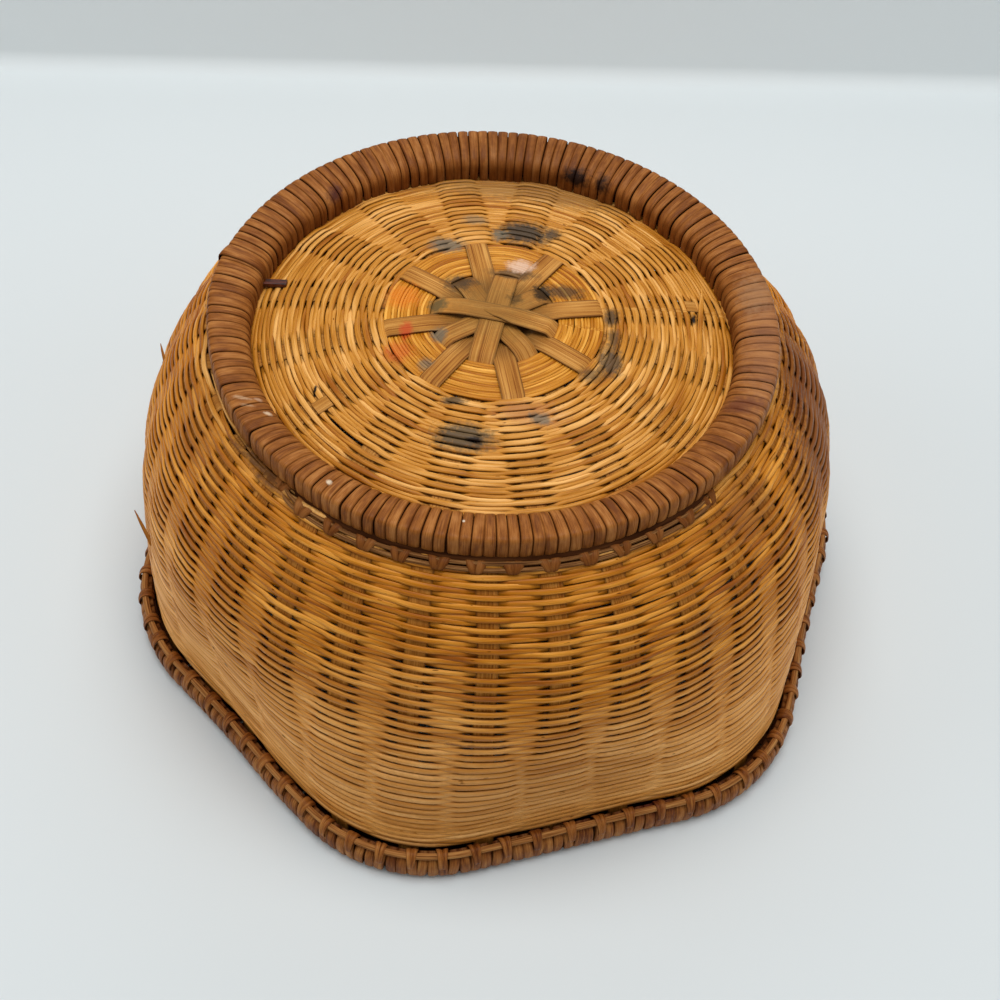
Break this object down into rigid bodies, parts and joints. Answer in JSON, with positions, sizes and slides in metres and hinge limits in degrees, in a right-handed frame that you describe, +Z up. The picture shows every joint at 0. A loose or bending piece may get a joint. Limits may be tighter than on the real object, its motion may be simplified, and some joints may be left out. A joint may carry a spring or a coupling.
{
  "type": "wicker basket",
  "caption": "Hexagonal wicker basket standing on its cane-bound mouth, with a round wrapped foot ring and a woven base of crossed flat bamboo strips.",
  "frame": {"origin": "middle of the mouth on the table, the bottom centre of the overall box", "axes": "+Z up from the mouth to the foot ring, as the basket stands in the picture; -Y towards the camera; +X to the right"},
  "size_m": [0.2054, 0.2094, 0.104],
  "materials": {
    "bamboo": "flat split bamboo, satin, worn",
    "weaving": "fine split strands, satin, golden brown",
    "cane": "flat glossy cane skin, aged brown",
    "hoop": "bare split wood",
    "rod": "bare light rod, greyed",
    "peg": "dark stained wood"
  },
  "bodies": {
    "root": {"base_strip_1": "bamboo", "base_strip_2": "bamboo", "base_strip_3": "bamboo", "base_strip_4": "bamboo", "base_strip_5": "bamboo", "base_strip_6": "bamboo", "base_strip_7": "bamboo", "base_strip_8": "bamboo", "side_stake_1": "bamboo", "side_stake_2": "bamboo", "side_stake_3": "bamboo", "side_stake_4": "bamboo", "side_stake_5": "bamboo", "side_stake_6": "bamboo", "side_stake_7": "bamboo", "side_stake_8": "bamboo", "side_stake_9": "bamboo", "side_stake_10": "bamboo", "side_stake_11": "bamboo", "side_stake_12": "bamboo", "side_stake_13": "bamboo", "side_stake_14": "bamboo", "side_stake_15": "bamboo", "side_stake_16": "bamboo", "centre_coil": "weaving", "base_weave": "weaving", "wall_weave": "weaving", "foot_ring_core": "hoop", "foot_ring_binding": "cane", "foot_follower": "rod", "rim_outer_hoop": "hoop", "rim_inner_hoop": "hoop", "rim_binding": "cane", "rim_follower": "rod", "foot_peg": "peg"}
  },
  "joints": []
}
